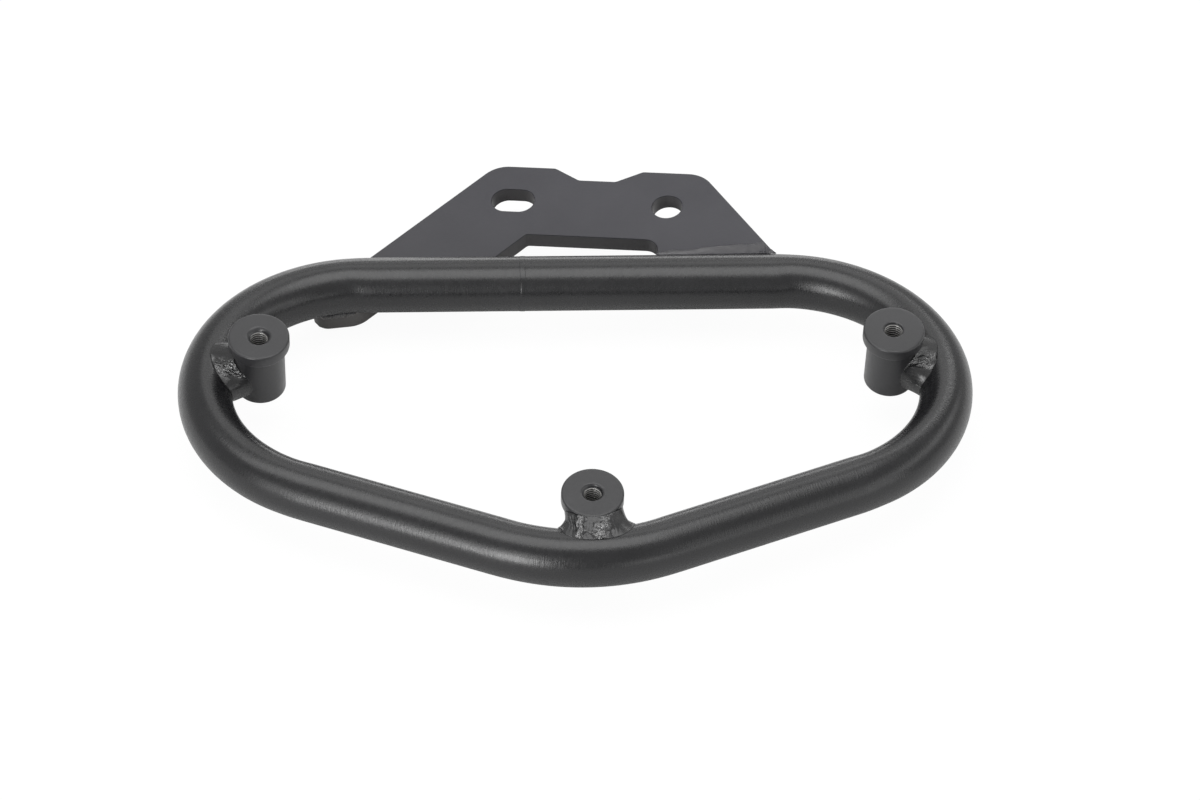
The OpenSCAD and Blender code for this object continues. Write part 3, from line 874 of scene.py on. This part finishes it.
studio = {
    "floor": -24.6,        # mm in the row frame, just under the plate's tab
    "floorTone": 0.75,
    "floorGlow": 0.93,     # share of the floor that the camera sees as plain white
    "glowStrength": 1.02,
    "floorHalf": 4,        # m
    "world": 0.6,
}
softBoxes = {
    # width and height, middle, which way it faces, and the brightness of its face
    "overheadBox": ((0.62, 0.51), (-0.03, -0.08, 0.70), (0, 0, -1), 2.95),
    "overheadLeft": ((0.42, 0.34), (-0.55, -0.04, 0.70), (0, 0, -1), 2.7),
    "rearBox": ((0.45, 0.25), (0.46, 0.70, 0.70), (0, 0, -1), 4.2),
    "rearTop": ((0.60, 0.40), (-0.03, 0.55, 0.70), (0, 0, -1), 1.3),
    "rearLow": ((0.60, 0.20), (-0.03, 0.90, 0.10), (0, -1, 0), 2.3),
    "rearHigh": ((0.60, 0.20), (-0.03, 0.90, 0.55), (0, -1, 0), 1.0),
    "frontLeftLow": ((0.50, 0.46), (-0.60, -1.05, 0.22), (0, 1, 0), 10.2),
    "frontLeftHigh": ((0.50, 0.22), (-0.60, -1.05, 0.65), (0, 1, 0), 4.0),
    "frontRight": ((0.50, 0.22), (0.53, -1.05, 0.10), (0, 1, 0), 1.9),
    "leftFill": ((0.45, 0.56), (-0.88, -0.75, 0.27), (1, 0, 0), 1.9),
    "rightFill": ((0.45, 0.56), (0.82, -0.75, 0.27), (-1, 0, 0), 1.5),
    "rightHigh": ((0.90, 0.26), (0.82, -0.07, 0.42), (-1, 0, 0), 1.6),
}


def softBox(name, size, place, facing, radiance):
    # an area lamp whose power follows from the brightness of its face: pi times area times radiance
    lamp = bpy.data.lights.new(name, "AREA")
    lamp.shape = "RECTANGLE"
    lamp.size = size[0]
    lamp.size_y = size[1]
    lamp.energy = math.pi * size[0] * size[1] * radiance
    holder = bpy.data.objects.new(name, lamp)
    bpy.context.scene.collection.objects.link(holder)
    look = np.array(facing, float)
    side = np.cross(look, [0, 0, 1.0]) if look[2] == 0 else np.array([1.0, 0, 0])
    upward = np.cross(side, look)
    holder.matrix_world = Matrix([[side[0], upward[0], -look[0], place[0]],
                                  [side[1], upward[1], -look[1], place[1]],
                                  [side[2], upward[2], -look[2], place[2]], [0, 0, 0, 1]])


for name, box in softBoxes.items():
    softBox(name, *box)
print("soft boxes:", len(softBoxes))

floorMaterial = bpy.data.materials.new("paleFloor")
floorMaterial.use_nodes = True
nodes = floorMaterial.node_tree.nodes
links = floorMaterial.node_tree.links
nodes.clear()
result = nodes.new("ShaderNodeOutputMaterial")
matt = nodes.new("ShaderNodeBsdfDiffuse")
tone = studio["floorTone"]
matt.inputs["Color"].default_value = (tone, tone, tone, 1)
glow = nodes.new("ShaderNodeEmission")
glow.inputs["Color"].default_value = (1, 1, 1, 1)
glow.inputs["Strength"].default_value = studio["glowStrength"]
seen = nodes.new("ShaderNodeLightPath")
glowShare = nodes.new("ShaderNodeMath")
glowShare.operation = "MULTIPLY"
glowShare.inputs[1].default_value = studio["floorGlow"]
blendIn = nodes.new("ShaderNodeMixShader")
links.new(seen.outputs["Is Camera Ray"], glowShare.inputs[0])
links.new(glowShare.outputs["Value"], blendIn.inputs["Fac"])
links.new(matt.outputs["BSDF"], blendIn.inputs[1])
links.new(glow.outputs["Emission"], blendIn.inputs[2])
links.new(blendIn.outputs["Shader"], result.inputs["Surface"])
floorMesh = bpy.data.meshes.new("paleFloor")
f = studio["floorHalf"]
z = studio["floor"] * 0.001
floorMesh.from_pydata([(-f, -f, z), (f, -f, z), (f, f, z), (-f, f, z)], [], [(0, 1, 2, 3)])
floorMesh.materials.append(floorMaterial)
floor = bpy.data.objects.new("paleFloor", floorMesh)
bpy.context.scene.collection.objects.link(floor)

world = bpy.data.worlds.new("paleRoom")
bpy.context.scene.world = world
world.use_nodes = True
nodes = world.node_tree.nodes
links = world.node_tree.links
nodes.clear()
result = nodes.new("ShaderNodeOutputWorld")
room = nodes.new("ShaderNodeBackground")
room.inputs["Color"].default_value = (1, 1, 1, 1)
strength = nodes.new("ShaderNodeMapRange")
strength.inputs["To Min"].default_value = studio["world"]
strength.inputs["To Max"].default_value = 1.0
seen = nodes.new("ShaderNodeLightPath")
links.new(seen.outputs["Is Camera Ray"], strength.inputs["Value"])
links.new(strength.outputs["Result"], room.inputs["Strength"])
links.new(room.outputs["Background"], result.inputs["Surface"])

# camera, as the photograph was taken

shot = {
    "place": (-0.087618, -1.115872, 0.948946),
    "right": (0.998966, -0.03978, 0.021996),
    "up": (0.010945, 0.680148, 0.732993),
    "ahead": (0.044119, 0.731994, -0.679881),
    "lens": 132.168,
}
camera = bpy.data.cameras.new("photoCamera")
camera.sensor_width = 36
camera.lens = shot["lens"]
camera.clip_start = 0.05
camera.clip_end = 20
cameraHolder = bpy.data.objects.new("photoCamera", camera)
bpy.context.scene.collection.objects.link(cameraHolder)
r, u, a, p = (shot[k] for k in ("right", "up", "ahead", "place"))
cameraHolder.matrix_world = Matrix([[r[0], u[0], -a[0], p[0]], [r[1], u[1], -a[1], p[1]],
                                    [r[2], u[2], -a[2], p[2]], [0, 0, 0, 1]])
bpy.context.scene.camera = cameraHolder
bpy.context.scene.view_settings.view_transform = "Standard"
print("camera lens:", shot["lens"], "mm")
